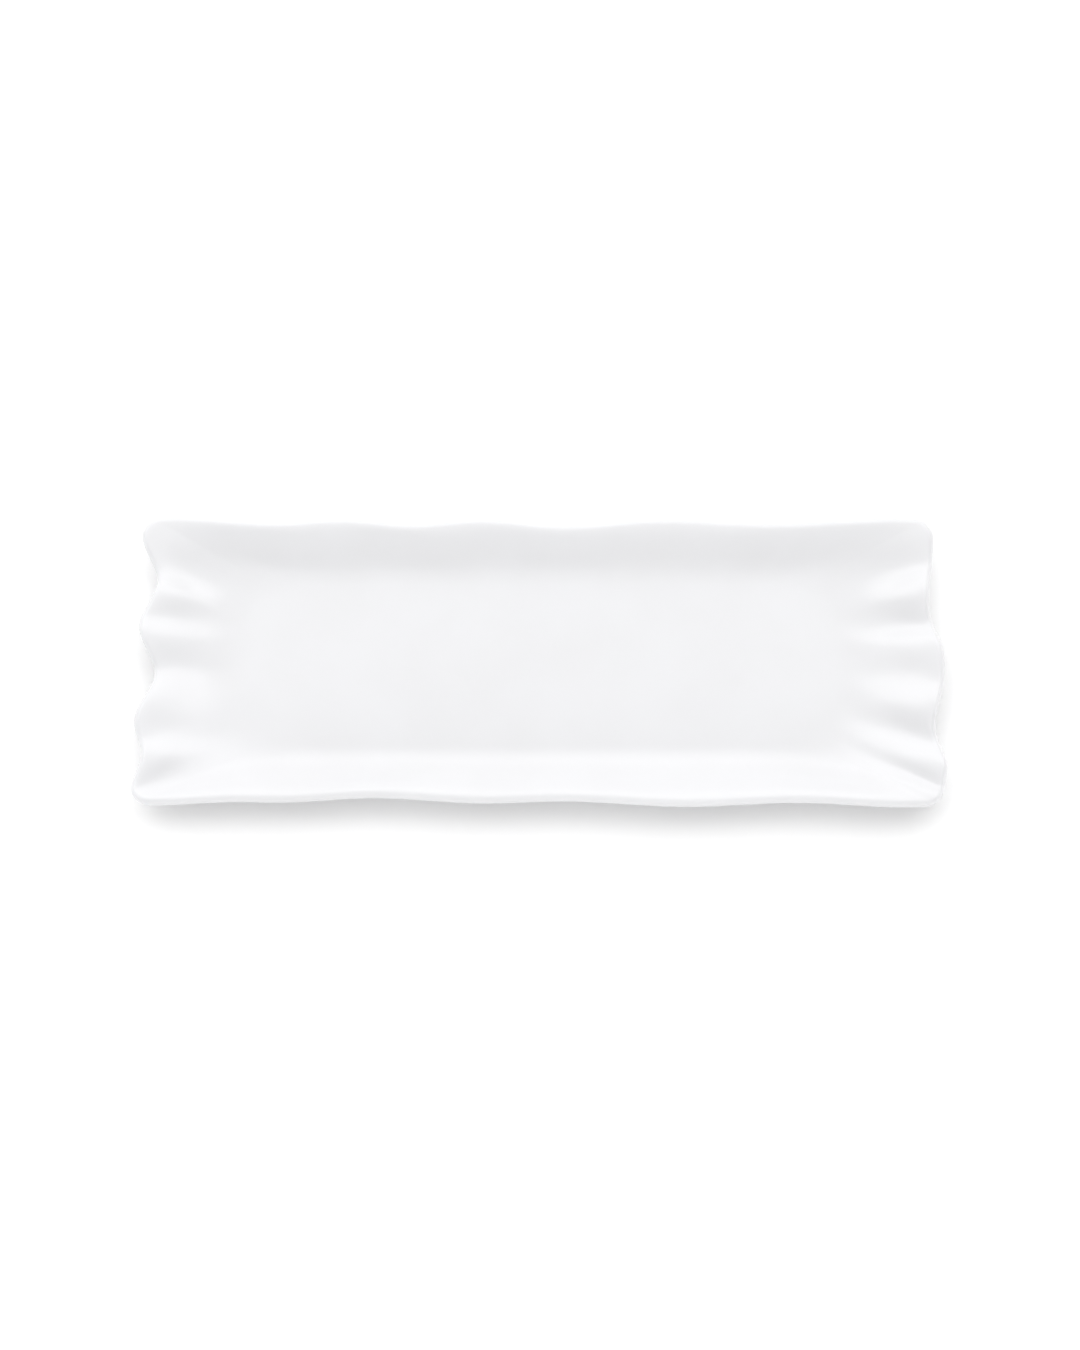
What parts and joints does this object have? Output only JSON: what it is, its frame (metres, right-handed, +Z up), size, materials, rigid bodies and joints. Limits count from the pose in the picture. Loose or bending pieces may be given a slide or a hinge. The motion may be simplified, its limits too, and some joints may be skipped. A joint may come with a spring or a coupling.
{
  "type": "serving platter",
  "caption": "Long rectangular white china serving platter with ruffled ends, gently wavy sides, a low sloping wall with a rounded lip and a foot ring.",
  "frame": {"origin": "on the table, under the middle of the platter's bounding box", "axes": "+X along the length, +Y across to the back, +Z up"},
  "size_m": [0.4, 0.147, 0.019],
  "materials": {
    "fired_porcelain": "matte",
    "white_glaze": "gloss"
  },
  "bodies": {
    "root": {"porcelain_body": "fired_porcelain", "upper_glaze": "white_glaze", "recess_glaze": "white_glaze"}
  },
  "joints": []
}
